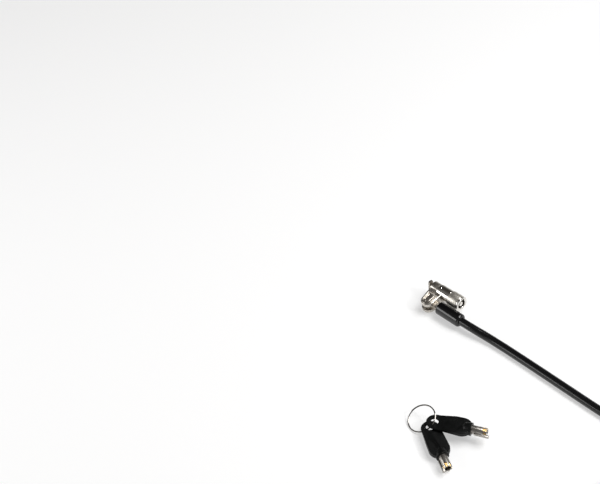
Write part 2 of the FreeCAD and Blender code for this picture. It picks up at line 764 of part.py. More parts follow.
def makeCrimp(place, heading):
    """A pressed sleeve that holds the cable and the loop's end side by side."""
    spread, half = size("strandSpread"), size("crimpHeight") / 2
    crimp = newBody("loop_crimp")
    sketch = newSketch(crimp, "YZ_Plane")
    drawOutline(sketch, rectangle("-strandSpread", "strandSpread", "-crimpHeight / 2", "crimpHeight / 2"),
                {1: ("strandSpread + crimpHeight / 2", "0", "x", "strandSpread"),
                 3: ("-strandSpread - crimpHeight / 2", "0", "x", "-strandSpread")})
    addPad(crimp, sketch, "crimpLength")
    turn = FreeCAD.Rotation(vector(1, 0, 0), heading)
    corner = place - turn.multVec(vector(0, spread, 0))
    crimp.Placement = FreeCAD.Placement(corner, turn)
    return FreeCAD.Placement(corner + turn.multVec(vector(size("crimpLength"), 0, 0)), turn)


def makeLoop(frame):
    """Two strands that spread from the sleeve and meet round a bend, one side's points mirrored."""
    spread = size("strandSpread")
    side = [(0, spread), (6.5, spread), (14.5, 5.7), (29.8, 18.5), (44.2, 17.7), (54, 7.2)]
    points = [frame.multVec(vector(along, across)) for along, across in side]
    points += [frame.multVec(vector(along, -across)) for along, across in reversed(side)]
    return makeTube("cable_loop", roundedRoute(points, "cable_loop"))


def makeCable():
    leadStart, startTangent, tailStart, endTangent, coilLength = makeCoil()
    runLength = makeRun(leadStart, startTangent)
    place, heading, tailLength = makeTail(tailStart, endTangent)
    frame = makeCrimp(place, heading)
    loopLength = makeLoop(frame)
    inBoot = size(BOOT_END) - size(POCKET_END + " + ferruleWeb")
    total = inBoot + runLength + coilLength + tailLength + size("crimpLength") * 2 + loopLength
    print("cable in all %.0f" % total)


# keys: a moulded bow, a tube and a core each, stacked at their ring ends on a split ring

def makeBow(name, placement):
    bow = newBody(name)
    plate = newSketch(bow, "XY_Plane", "-bowThickness / 2")
    neckPlace = "bowLength - bowCollarLength"
    narrow, wide = "bowEndRadius", "bowWidth / 2"
    # the shoulders are arcs that leave the straight sides smoothly
    step = "(bowWidth / 2 - bowCollarRadius)"
    arcRadius = "((bowShoulder ^ 2 + %s ^ 2) / (2 * %s))" % (step, step)
    along, across = ("%s * %s(asin(bowShoulder / %s) / 2)" % (arcRadius, part, arcRadius)
                     for part in ("sin", "cos"))
    arcStart = neckPlace + " - bowShoulder"
    arcMiddle = arcStart + " + " + along
    drawOutline(plate, [
        ("bowEndRadius", "-" + narrow), (arcStart, "-" + wide), (neckPlace, "-bowCollarRadius"),
        (neckPlace, "bowCollarRadius"), (arcStart, wide), ("bowEndRadius", narrow)],
        {1: (arcMiddle, "%s - %s - %s" % (arcRadius, wide, across), "x", arcStart),
         3: (arcMiddle, "%s - %s + %s" % (wide, arcRadius, across), "x", arcStart),
         5: ("0", "0", "x", "bowEndRadius")})
    addPad(bow, plate, "bowThickness")
    roundFaceEdges(bow, "bowEdge")
    # a swelling that holds the tube's seat
    seat = "(bowLength - keyTubeSeat)"
    addRevolution(bow, [
        (seat + " - keyTubeRadius", "0"), (seat, "keyTubeRadius + bowSeatWall"),
        (neckPlace, "bowCollarRadius"), ("bowLength", "bowCollarRadius"), ("bowLength", "0")])
    web = newSketch(bow, "XZ_Plane", "-bowWidth")
    drawOutline(web, [
        ("-bowLength", "webThickness - bowThickness / 2"),
        ("webLength", "webThickness - bowThickness / 2"), ("bowTaperEnd", "bowThickness / 2"),
        ("bowTaperEnd", "bowThickness"), ("-bowLength", "bowThickness")])
    addPocket(bow, web, "bowWidth * 2", True)
    hole = newSketch(bow, "XY_Plane", "-bowThickness / 2")
    drawCircle(hole, "ringHolePlace", "0", "ringHoleRadius")
    addPocket(bow, hole, "bowThickness", True)
    addRevolution(bow, [
        (seat, "0"), (seat, "keyTubeRadius"), ("bowLength * 2", "keyTubeRadius"),
        ("bowLength * 2", "0")], cut=True)
    bow.Placement = placement


def makeKeyTube(name, placement, side):
    tube = turnedBody(name, [
        ("bowLength - keyTubeSeat", "keyTubeBore"), ("bowLength - keyTubeSeat", "keyTubeRadius"),
        ("bowLength + keyTubeLength", "keyTubeRadius"), ("bowLength + keyTubeLength", "keyTubeBore")])
    for number in range(PIN_COUNT):
        # the key faces the lock, so its cuts run round the other way
        code = KEY_CODES[(PIN_COUNT // 2 - number) % PIN_COUNT]
        cut = newSketch(tube, "YZ_Plane", "bowLength + keyTubeLength")
        drawCircle(cut, *onCircle("keyTubeRadius", number, 90.0 + 90.0 * side), "keyCutRadius")
        addPocket(tube, cut, "keyCutBase + keyPinStep * %d" % code, False)
    rib = newSketch(tube, "YZ_Plane", "bowLength + keyTubeLength - keyRibLength")
    inner = "%d * (keyTubeBore + keyTubeRadius) / 2" % side
    outer = "%d * (keyTubeRadius + keyRibHeight)" % side
    drawOutline(rib, rectangle(inner, outer, "-keyRibWidth / 2", "keyRibWidth / 2"))
    addPad(tube, rib, "keyRibLength + keyFingerLength")
    tube.Placement = placement


def makeKeyCore(name, placement):
    core = turnedBody(name, [
        ("bowLength - keyTubeSeat", "0"), ("bowLength - keyTubeSeat", "keyTubeBore"),
        ("bowLength + keyTubeLength - keyCoreSetBack", "keyTubeBore"),
        ("bowLength + keyTubeLength - keyCoreSetBack + keyTubeBore / 2", "keyTubeBore / 2"),
        ("bowLength + keyTubeLength - keyCoreSetBack + keyTubeBore / 2", "0")])
    core.Placement = placement


def makeKeys():
    table = -size("tableDrop")
    halfStack = (size("bowThickness") + size("keyStackGap")) / 2
    middle = table + size("ringHeight")
    holes = []
    for number, level, flip in ((1, 1, 0.0), (2, -1, 180.0)):
        turn = FreeCAD.Rotation(vector(0, 0, 1), size("key%dHeading" % number))
        turn = turn.multiply(FreeCAD.Rotation(vector(1, 0, 0), flip))
        corner = vector(size("key%dX" % number), size("key%dY" % number), middle + level * halfStack)
        placement = FreeCAD.Placement(corner, turn)
        makeBow("key_%d_bow" % number, placement)
        makeKeyTube("key_%d_tube" % number, placement, -level)
        makeKeyCore("key_%d_core" % number, placement)
        holes.append(placement.multVec(vector(size("ringHolePlace"), 0, 0)))
        print("key %d swings about %.2f %.2f" % (number, holes[-1].x, holes[-1].y))
    lean = FreeCAD.Rotation(vector(0, 1, 0), -size("ringLean"))
    hold = (holes[0] + holes[1]) * 0.5
    centre = hold - lean.multVec(vector(size("ringRadius"), 0, 0))
    print("ring centre %.2f %.2f %.2f" % tuple(centre))
    ring = doc.addObject("Part::Torus", "key_ring")
    ring.Label = "key_ring"
    ring.setExpression("Radius1", bound("ringRadius"))
    ring.setExpression("Radius2", bound("ringWire"))
    tilt = FreeCAD.Rotation(vector(1, 0, 0), size("ringTilt"))
    ring.Placement = FreeCAD.Placement(centre, lean.multiply(tilt))


makeNeck()
makeAnchorPins()
makeBarrel()
makePinBlock()
makePinStacks()
makeRotor()
makeSpindle()
makeClevis()
makeClevisFittings()
makeLink()
makeBoot()
makeCable()
makeKeys()
doc.recompute()

for item in doc.Objects:
    if "Invalid" in item.State or "Error" in item.State:
        raise ValueError(item.Name + " failed")

helpers = [item.Base for item in doc.Objects if item.TypeId == "Part::Cut"]
helpers += [item.Tool for item in doc.Objects if item.TypeId == "Part::Cut"]
os.makedirs("parts", exist_ok=True)
for item in doc.Objects:
    isPiece = item.TypeId == "PartDesign::Body" or item.TypeId.startswith("Part::")
    if isPiece and item not in helpers:
        shape = item.Shape
        if shape.isNull() or not shape.isValid() or len(shape.Solids) != 1:
            raise ValueError(item.Label + " has no sound shape")
        shape.exportStep("parts/%s.step" % item.Label)
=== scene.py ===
import json
import math
import bmesh
import bpy
from mathutils import Matrix, Vector


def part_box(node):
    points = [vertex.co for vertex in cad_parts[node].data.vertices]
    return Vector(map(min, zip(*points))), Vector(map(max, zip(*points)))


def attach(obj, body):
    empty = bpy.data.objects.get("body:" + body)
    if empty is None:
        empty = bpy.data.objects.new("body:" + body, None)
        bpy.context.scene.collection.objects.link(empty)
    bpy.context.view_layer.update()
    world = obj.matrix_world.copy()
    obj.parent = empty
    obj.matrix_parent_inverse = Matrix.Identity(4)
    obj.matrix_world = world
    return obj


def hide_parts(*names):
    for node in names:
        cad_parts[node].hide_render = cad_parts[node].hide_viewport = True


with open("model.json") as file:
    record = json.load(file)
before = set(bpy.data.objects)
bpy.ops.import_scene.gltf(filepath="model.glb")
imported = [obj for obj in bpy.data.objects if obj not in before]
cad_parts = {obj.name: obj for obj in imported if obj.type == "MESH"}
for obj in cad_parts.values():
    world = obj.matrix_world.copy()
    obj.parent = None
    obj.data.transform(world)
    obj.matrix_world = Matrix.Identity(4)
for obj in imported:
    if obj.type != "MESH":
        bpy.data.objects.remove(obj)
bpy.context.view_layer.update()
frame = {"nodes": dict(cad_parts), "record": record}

mm = 0.001
tableHeight = -0.0074  # the lock's axis is this far above the table
armRoll = math.radians(9)  # the arm and the link lie turned by this about the lock's axis
mergeDistance = 1e-4  # in millimetres

# camera

cameraSet = {
    "place": (0.4367, -0.4448, 0.5762),
    "right": (0.6756, 0.7324, -0.0845),
    "up": (-0.4363, 0.4896, 0.7550),
    "lens": 85.43,
    "sensor": 36.0,
    "nearest": 0.01,
}


def aimCamera():
    right = Vector(cameraSet["right"]).normalized()
    up = Vector(cameraSet["up"])
    up = (up - right * up.dot(right)).normalized()
    data = bpy.data.cameras.new("camera")
    data.lens = cameraSet["lens"]
    data.sensor_width = cameraSet["sensor"]
    data.sensor_fit = "HORIZONTAL"
    data.clip_start = cameraSet["nearest"]
    camera = bpy.data.objects.new("camera", data)
    bpy.context.scene.collection.objects.link(camera)
    turn = Matrix((right, up, right.cross(up))).transposed().to_4x4()
    camera.matrix_world = Matrix.Translation(Vector(cameraSet["place"])) @ turn
    bpy.context.scene.camera = camera


# cable: one line from the boot along the table, up onto the coil, down it and round the end loop

cableSet = {
    "radius": 2.5,
    "length": 1.794,
    "layHeight": -4.9,
    "run": [(30, -8.946, -2.328), (37.5, -8.946, -2.328), (50, -6.75, -4.55), (68, -6.55, -4.9),
            (102, -7.35, -4.9), (129, -8.1, -4.9), (152, -8.0, -4.9)],
    "coilCentre": (204.5, -40.4),
    "coilRadius": 27.55,
    "coilStep": 5.45,
    "layerTurns": 2,
    "layers": 4,
    "pointsPerTurn": 20,
    "startTurn": 0.25,
    "dropTurns": 0.5,  # how much of a turn it takes to come down one layer
    "straightOn": 23.5,  # before the coil, level with its top
    "straightOff": 18.0,  # after it, on the table
    "tail": [(237, -10.5, -4.4), (247, -21.5, -3.9), (249.5, -30.5, -3.9)],
    "sleeveLength": 12.0,
    "strandSpread": 2.75,
    "loopSide": [(6.5, 2.75), (14.5, 5.7), (29.8, 18.5), (44.2, 17.7), (54, 7.2)],
    "stepsAround": 7,
    "stepsAlong": 6,
}


def coilPoint(turns):
    layerTurns, step = cableSet["layerTurns"], cableSet["coilStep"]
    layer, along = divmod(turns, layerTurns)
    inward = along if int(layer) % 2 == 0 else layerTurns - along
    radius = cableSet["coilRadius"] + step * (layerTurns / 2 - inward)
    nearest = round(turns / layerTurns)
    drop = nearest
    if 0 < nearest < cableSet["layers"]:
        share = min(max((turns - nearest * layerTurns) / cableSet["dropTurns"] + 0.5, 0.0), 1.0)
        drop = nearest - 1 + share * share * (3 - 2 * share)
    elif nearest == cableSet["layers"]:
        drop = nearest - 1
    angle = 2 * math.pi * (cableSet["startTurn"] - turns)
    x, y = cableSet["coilCentre"]
    height = cableSet["layHeight"] + step * (cableSet["layers"] - 1 - drop)
    return Vector((x + radius * math.cos(angle), y + radius * math.sin(angle), height))


def cableRoute():
    turns = cableSet["layers"] * cableSet["layerTurns"]
    count = turns * cableSet["pointsPerTurn"]
    coil = [coilPoint(turns * number / count) for number in range(count + 1)]
    ahead = (coil[1] - coil[0]).normalized()
    after = (coil[-1] - coil[-2]).normalized()
    route = [Vector(spot) for spot in cableSet["run"]]
    route += [coil[0] - ahead * cableSet["straightOn"], *coil, coil[-1] + after * cableSet["straightOff"]]
    tail = [Vector(spot) for spot in cableSet["tail"]]
    ahead = (tail[-1] - tail[-2]).normalized()
    aside = Vector((-ahead.y, ahead.x, 0))
    start = tail[-1] - aside * cableSet["strandSpread"] + ahead * cableSet["sleeveLength"]
    side = cableSet["loopSide"]
    loop = [start + ahead * along + aside * across for along, across in side]
    loop += [start + ahead * along - aside * across for along, across in reversed(side)]
    return route + tail + loop + [start - aside * cableSet["strandSpread"]]


def makeCable():
    curve = bpy.data.curves.new("cable", "CURVE")
    curve.dimensions = "3D"
    curve.bevel_depth = cableSet["radius"] * mm
    curve.bevel_resolution = cableSet["stepsAround"]
    curve.resolution_u = cableSet["stepsAlong"]
    route = cableRoute()
    spline = curve.splines.new("NURBS")
    spline.points.add(len(route) - 1)
    for point, spot in zip(spline.points, route):
        point.co = (*(spot * mm), 1)
    spline.order_u = 3
    spline.use_endpoint_u = True
    cable = bpy.data.objects.new("cable", curve)
    bpy.context.scene.collection.objects.link(cable)
    curve.materials.append(finishes["cable_jacket"])
    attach(cable, "cable")
    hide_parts("cable_run", "cable_coil", "cable_tail", "cable_loop")
    route[0] * mm


# finishes: a number that changes over a surface is written as a sum of Amounts

class Amount:
    def __init__(self, recipe, socket):
        self.recipe = recipe
        self.socket = socket

    def sum(self, operation, first, second):
        return self.recipe.add("ShaderNodeMath", {"operation": operation}, {0: first, 1: second})

    def __add__(self, other):
        return self.sum("ADD", self, other)

    def __radd__(self, other):
        return self.sum("ADD", other, self)

    def __sub__(self, other):
        return self.sum("SUBTRACT", self, other)

    def __rsub__(self, other):
        return self.sum("SUBTRACT", other, self)

    def __mul__(self, other):
        return self.sum("MULTIPLY", self, other)

    def __rmul__(self, other):
        return self.sum("MULTIPLY", other, self)


class Recipe:
    def __init__(self, name, world=None):
        self.material = world or bpy.data.materials.new(name)
        self.material.use_nodes = True
        self.tree = self.material.node_tree
        self.shader = self.tree.nodes["Background" if world else "Principled BSDF"]

    def add(self, kind, settings, values, output=0):
        node = self.tree.nodes.new(kind)
        for key, value in settings.items():
            setattr(node, key, value)
        for key, value in values.items():
            self.feed(node.inputs[key], value)
        return Amount(self, node.outputs[output])

    def feed(self, socket, value):
        if isinstance(value, Amount):
            self.tree.links.new(value.socket, socket)
        else:
            socket.default_value = value

    def set(self, **values):
        names = {"colour": "Base Color", "metallic": "Metallic", "roughness": "Roughness",
                 "specular": "Specular IOR Level", "normal": "Normal"}
        for key, value in values.items():
            if key == "colour" and not isinstance(value, Amount):
                value = (*value, 1)
            self.feed(self.shader.inputs[names[key]], value)

    def place(self, stretch=(1, 1, 1), turn=(0, 0, 0)):
        # object coordinates in millimetres, stretched and turned
        spot = self.add("ShaderNodeTexCoord", {}, {}, "Object")
        scale = tuple(1000 * value for value in stretch)
        return self.add("ShaderNodeMapping", {"vector_type": "POINT"},
                        {"Vector": spot, "Rotation": turn, "Scale": scale})

    def noise(self, scale, detail=3.0, rough=0.5, where=None):
        where = where or self.place()
        return self.add("ShaderNodeTexNoise", {}, {"Vector": where, "Scale": scale, "Detail": detail,
                                                   "Roughness": rough})

    def band(self, value, low, high):
        # 0 below low, 1 above high
        return self.add("ShaderNodeMapRange", {"clamp": True},
                        {"Value": value, "From Min": low, "From Max": high})

    def blend(self, share, first, second):
        values = {0: share, 6: first if isinstance(first, Amount) else (*first, 1),
                  7: second if isinstance(second, Amount) else (*second, 1)}
        return self.add("ShaderNodeMix", {"data_type": "RGBA"}, values, 2)

    def bump(self, height, distance):
        # distance in millimetres
        return self.add("ShaderNodeBump", {}, {"Height": height, "Distance": distance * mm})


metalSet = {
    "nickel_bright": {"colour": (0.80, 0.78, 0.74), "dull": (0.62, 0.59, 0.54), "shine": 0.07, "haze": 0.10,
                      "grain": 0.0006},
    "clevis_nickel": {"colour": (0.62, 0.59, 0.54), "dull": (0.42, 0.38, 0.33), "shine": 0.24, "haze": 0.14,
                      "grain": 0.0015},
    "inlay_nickel": {"colour": (0.66, 0.62, 0.56), "dull": (0.40, 0.36, 0.31), "shine": 0.22, "haze": 0.18,
                     "grain": 0.003},
    "key_nickel": {"colour": (0.42, 0.40, 0.37), "dull": (0.22, 0.20, 0.18), "shine": 0.27, "haze": 0.12,
                   "grain": 0.001},
    "ring_nickel": {"colour": (0.30, 0.29, 0.27), "dull": (0.16, 0.15, 0.14), "shine": 0.14, "haze": 0.15,
                    "grain": 0.001},
    # painted shade: this near-black steel colour on the rotor plug stands for the shade deep in the keyway
    "dark_steel": {"colour": (0.11, 0.09, 0.07), "dull": (0.05, 0.04, 0.035), "shine": 0.30, "haze": 0.20,
                   "grain": 0.002},
    "steel": {"colour": (0.38, 0.35, 0.31), "dull": (0.20, 0.17, 0.14), "shine": 0.24, "haze": 0.20,
              "grain": 0.002},
    "crimp_metal": {"colour": (0.68, 0.68, 0.67), "dull": (0.50, 0.50, 0.50), "shine": 0.32, "haze": 0.22,
                    "grain": 0.006},
    "brass": {"colour": (0.82, 0.60, 0.26), "dull": (0.55, 0.36, 0.14), "shine": 0.16, "haze": 0.18,
              "grain": 0.0015},
}


def metal(slot):
    # plated or turned metal: cloudy tarnish, hazy patches, fine scratches and a little waviness
    chosen = metalSet[slot]
    recipe = Recipe(slot)
    cloud = recipe.noise(0.55, 4.0, 0.6)
    speck = recipe.noise(6.0, 2.0)
    scratch = recipe.noise(2.2, 6.0, 0.7, recipe.place((0.6, 6.0, 6.0), (0.3, 0.5, 0.4)))
    tarnish = recipe.band(cloud, 0.42, 0.78) * 0.8 + recipe.band(speck, 0.62, 0.75) * 0.25
    recipe.set(colour=recipe.blend(tarnish, chosen["colour"], chosen["dull"]), metallic=1.0,
               roughness=chosen["shine"] + recipe.band(cloud, 0.35, 0.75) * chosen["haze"]
               + recipe.band(scratch, 0.58, 0.72) * 0.12)
    recipe.set(normal=recipe.bump(scratch * 0.5 + recipe.noise(1.1, 2.0), chosen["grain"] * 6))
    return recipe.material


def brushedNickel():
    # the barrel: fine lines round it, with a satin sheen
    recipe = Recipe("nickel_satin")
    lines = recipe.noise(9.0, 5.0, 0.75, recipe.place((1.0, 0.06, 0.06)))
    wide = recipe.noise(1.4, 3.0, 0.6, recipe.place((1.0, 0.25, 0.25)))
    wear = recipe.band(recipe.noise(0.8, 5.0, 0.65), 0.45, 0.8)
    colour = recipe.blend(lines, (0.46, 0.435, 0.39), (0.78, 0.75, 0.69))
    recipe.set(colour=recipe.blend(wear * 0.6, colour, (0.40, 0.37, 0.32)), metallic=1.0,
               roughness=0.30 + lines * 0.14 + wide * 0.06 + wear * 0.05)
    recipe.set(normal=recipe.bump(lines, 0.006))
    return recipe.material


def blackBoot():
    recipe = Recipe("black_boot")
    flow = recipe.noise(0.7, 3.0, 0.6, recipe.place((0.35, 1.0, 1.0)))
    speck = recipe.band(recipe.noise(7.0, 2.0), 0.66, 0.74)
    dust = recipe.band(recipe.noise(2.6, 5.0, 0.7), 0.60, 0.75)
    dark, pale = (0.002, 0.002, 0.0025), (0.014, 0.014, 0.015)
    recipe.set(colour=recipe.blend(dust * 0.35 + speck * 0.3, dark, pale), metallic=0.0,
               roughness=0.08 + flow * 0.06 + dust * 0.12, specular=0.55)
    recipe.set(normal=recipe.bump(flow + speck * 0.2, 0.02))
    return recipe.material


def cableJacket():
    # extruded plastic, with the strand's lay just felt through it
    recipe = Recipe("cable_jacket")
    flow = recipe.noise(0.45, 4.0, 0.6)
    pores = recipe.noise(5.0, 3.0, 0.6)
    scuff = recipe.band(recipe.noise(1.7, 6.0, 0.7), 0.58, 0.72)
    dark, pale = (0.002, 0.002, 0.0025), (0.014, 0.014, 0.015)
    recipe.set(colour=recipe.blend(scuff * 0.4, dark, pale), metallic=0.0,
               roughness=0.16 + flow * 0.10 + scuff * 0.16, specular=0.42)
    recipe.set(normal=recipe.bump(flow + pores * 0.12, 0.05))
    return recipe.material


def blackBow():
    # moulded key heads with a fine spark-eroded grain, polished by fingers in places
    recipe = Recipe("black_bow")
    grain = recipe.noise(7.5, 3.0, 0.6)
    worn = recipe.band(recipe.noise(0.35, 3.0, 0.6), 0.5, 0.72)
    lint = recipe.band(recipe.noise(3.4, 6.0, 0.75), 0.64, 0.74)
    dark, pale = (0.0022, 0.0025, 0.0025), (0.012, 0.012, 0.013)
    recipe.set(colour=recipe.blend(lint * 0.3, dark, pale), metallic=0.0,
               roughness=0.36 - worn * 0.10 + grain * 0.08, specular=0.2)
    recipe.set(normal=recipe.bump(grain, 0.02))
    return recipe.material


finishes = {slot: metal(slot) for slot in metalSet}
finishes["nickel_satin"] = brushedNickel()
finishes["black_boot"] = blackBoot()
finishes["cable_jacket"] = cableJacket()
finishes["black_bow"] = blackBow()
slotOf = {entry["node"]: entry["material_slot"] for entry in frame["record"]["subparts"]}
for node, slot in slotOf.items():
    mesh = frame["nodes"][node].data
    mesh.materials.clear()
    mesh.materials.append(finishes[slot])
print("finishes")


# shaping

def finish(shape, name, nodes, body, slot, sharp=30.0):
    # a bmesh in millimetres becomes a piece that rides a body and stands for the nodes
    bmesh.ops.remove_doubles(shape, verts=shape.verts, dist=mergeDistance)
    bmesh.ops.recalc_face_normals(shape, faces=shape.faces)
    bmesh.ops.scale(shape, vec=(mm, mm, mm), verts=shape.verts)
    mesh = bpy.data.meshes.new(name)
    shape.to_mesh(mesh)
    shape.free()
    mesh.polygons.foreach_set("use_smooth", [True] * len(mesh.polygons))
    mesh.set_sharp_from_angle(angle=math.radians(sharp))
    mesh.materials.append(finishes[slot])
    piece = bpy.data.objects.new(name, mesh)
    bpy.context.scene.collection.objects.link(piece)
    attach(piece, body)
    if nodes:
        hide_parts(*nodes)
    return piece


def turned(profile, steps=72):
    # a closed profile of (distance along, radius) turned about the lock's axis
    shape = bmesh.new()
    corners = [shape.verts.new((along, radius, 0)) for along, radius in profile]
    edges = [shape.edges.new((corners[number], corners[(number + 1) % len(corners)]))
             for number in range(len(corners))]
    bmesh.ops.spin(shape, geom=corners + edges, cent=(0, 0, 0), axis=(1, 0, 0), dvec=(0, 0, 0),
                   angle=2 * math.pi, steps=steps, use_merge=True)
    return shape


def roundCorner(centre, radius, start, stop, count=5):
    # points on an arc, angles in degrees from the axis
    angles = [math.radians(start + (stop - start) * number / count) for number in range(count + 1)]
    along, across = centre
    return [(along + radius * math.cos(angle), across + radius * math.sin(angle)) for angle in angles]


def softEdges(shape, width, angle=35.0, segments=2):
    sharp = [edge for edge in shape.edges
             if len(edge.link_faces) == 2 and edge.calc_face_angle() > math.radians(angle)]
    bmesh.ops.bevel(shape, geom=sharp, offset=width, offset_type="OFFSET", affect="EDGES",
                    segments=segments, profile=0.5, material=-1, clamp_overlap=True)


def copyNode(node):
    # the node's own mesh in millimetres, its loose triangles merged into faces
    shape = bmesh.new()
    shape.from_mesh(frame["nodes"][node].data)
    bmesh.ops.scale(shape, vec=(1 / mm, 1 / mm, 1 / mm), verts=shape.verts)
    bmesh.ops.remove_doubles(shape, verts=shape.verts, dist=mergeDistance)
    bmesh.ops.dissolve_limit(shape, angle_limit=math.radians(0.4), verts=shape.verts, edges=shape.edges,
                             use_dissolve_boundaries=False)
    return shape


def extent(node):
    low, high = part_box(node)
    return [value / mm for value in low], [value / mm for value in high]


# neck and barrel

headSet = {
    "neckRounding": 0.35,
    "neckGroove": ((1.5, 0), (1.6, 0.1), (1.8, 0.1), (1.9, 0)),  # (past the shoulder, depth)
    "neckChamfer": (0.2, 0.15),
    "noseChamfer": 0.15,
    "barrelRounding": 0.3,
    "barrelEndRounding": 0.15,
    "bore": 1.05,
    "nose": 2.45,
    "shoulder": 5.3,
    "cavity": 3.7,
    "cavityStart": 8.0,
    "spigot": 4.2,
    "spigotLength": 0.6,
}


def makeHead():
    (start, _, low), (end, _, high) = extent("neck_housing")
    (barrelStart, _, bottom), (barrelEnd, _, top) = extent("barrel_shell")
    neckRadius, barrelRadius = (high - low) / 2, (top - bottom) / 2
    bore, nose, shoulder, cavity = headSet["bore"], headSet["nose"], headSet["shoulder"], headSet["cavity"]
    rounding, chamfer = headSet["neckRounding"], headSet["noseChamfer"]
    profile = [(start, bore), (start, nose - chamfer), (start + chamfer, nose), (shoulder, nose)]
    profile += roundCorner((shoulder + rounding, neckRadius - rounding), rounding, 180, 90)
    profile += [(shoulder + along, neckRadius - depth) for along, depth in headSet["neckGroove"]]
    along, depth = headSet["neckChamfer"]
    profile += [(end - along, neckRadius), (end, neckRadius - depth), (end, cavity),
                (headSet["cavityStart"], cavity), (headSet["cavityStart"], bore)]
    finish(turned(profile), "neckShell", ["neck_housing"], "lock", "nickel_bright")
    rounding = headSet["barrelRounding"]
    profile = [(barrelStart, cavity)]
    profile += roundCorner((barrelStart + rounding, barrelRadius - rounding), rounding, 180, 90)
    rounding = headSet["barrelEndRounding"]
    profile += roundCorner((barrelEnd - rounding, barrelRadius - rounding), rounding, 90, 0, 3)
    spigot, inner = headSet["spigot"], barrelEnd - headSet["spigotLength"]
    profile += [(barrelEnd, spigot), (inner, spigot), (inner, cavity)]
    finish(turned(profile), "barrelSleeve", ["barrel_shell"], "lock", "nickel_satin")
    for node, name, body, slot, width in (
            ("face_ring", "faceRing", "lock", "nickel_bright", 0.1),
            ("centre_post", "centrePost", "rotor", "nickel_bright", 0.12),
            # the rotor plug takes the near-black steel colour, painted shade for the depth of the keyway
            ("rotor_plug", "rotorPlug", "rotor", "dark_steel", 0.05),
            ("retaining_washer", "retainingWasher", "lock", "steel", 0.05),
            ("tbar_spindle", "spindleWithHead", "rotor", "steel", 0.12),
            ("anchor_pin_1", "anchorPin1", "lock", "steel", 0.12),
            ("anchor_pin_2", "anchorPin2", "lock", "steel", 0.12)):
        shape = copyNode(node)
        softEdges(shape, width)
        finish(shape, name, [node], body, slot)


# arm: the block, its oval rim and the plate in it

armSet = {
    "rounding": 0.28,
    "ovalCentre": (5.2, -8.9),
    "ovalLength": 8.4,
    "ovalWidth": 4.8,
    "top": 2.8,
    "width": 9.6,
    "reach": 14.9,
    "endRadius": 4.1,
    "slantStart": 2.0,  # its far side runs straight from here to the rounded end
    "beadStart": 4.6,
    "beadInset": 0.72,
    "beadWidth": 0.62,
    "beadHeight": 0.18,
    "rimWidth": 0.3,
    "rimHeight": 0.2,
    "sink": 0.02,  # the bead and the rim start this far inside the block
    "plateDepth": 0.3,
    "plateSteps": ((0, 0), (0, 0.16), (-0.25, 0.2), (-1.1, 0.2), (-1.35, 0.1), (-1.6, 0.1), (-1.9, 0.2),
                   (-3.2, 0.24)),  # (growth, lift)
    "pinRounding": 0.2,
    "linkRounding": 0.25,
}


def oval(shape, length, width, height, count=14):
    # a flat long hole's outline, long along Y, centred on the origin
    radius, reach = width / 2, (length - width) / 2
    spots = []
    for sign in (1, -1):
        for number in range(count + 1):
            angle = math.pi * number / count + (0 if sign > 0 else math.pi)
            spots.append((radius * math.cos(angle), sign * reach + radius * math.sin(angle), height))
    corners = [shape.verts.new(spot) for spot in spots]
    return [shape.edges.new((corners[number], corners[(number + 1) % len(corners)]))
            for number in range(len(corners))]


def armOutline(shape, inset, height, count=20):
    # the arm's own edge from above, moved inwards, closed across near the neck
    width, radius = armSet["width"], armSet["endRadius"]
    endX, endY = width - radius, radius - armSet["reach"]
    spots = [(endX + (radius - inset) * math.cos(angle), endY - (radius - inset) * math.sin(angle))
             for angle in (math.pi * number / count for number in range(count + 1))]
    slantStart = armSet["slantStart"]
    slant = (width - 2 * radius) / (-endY - slantStart)
    startY = -armSet["beadStart"] - inset
    spots += [(slant * (-startY - slantStart) + inset, startY), (width - inset, startY)]
    corners = [shape.verts.new((x, y, height)) for x, y in spots]
    return [shape.edges.new((corners[number], corners[(number + 1) % len(corners)]))
            for number in range(len(corners))]


def placeOnArm(shape, place=None):
    x, y = place or armSet["ovalCentre"]
    bmesh.ops.translate(shape, vec=(x, y, armSet["top"]), verts=shape.verts)
    bmesh.ops.rotate(shape, cent=(0, 0, 0), matrix=Matrix.Rotation(armRoll, 3, "X"), verts=shape.verts)


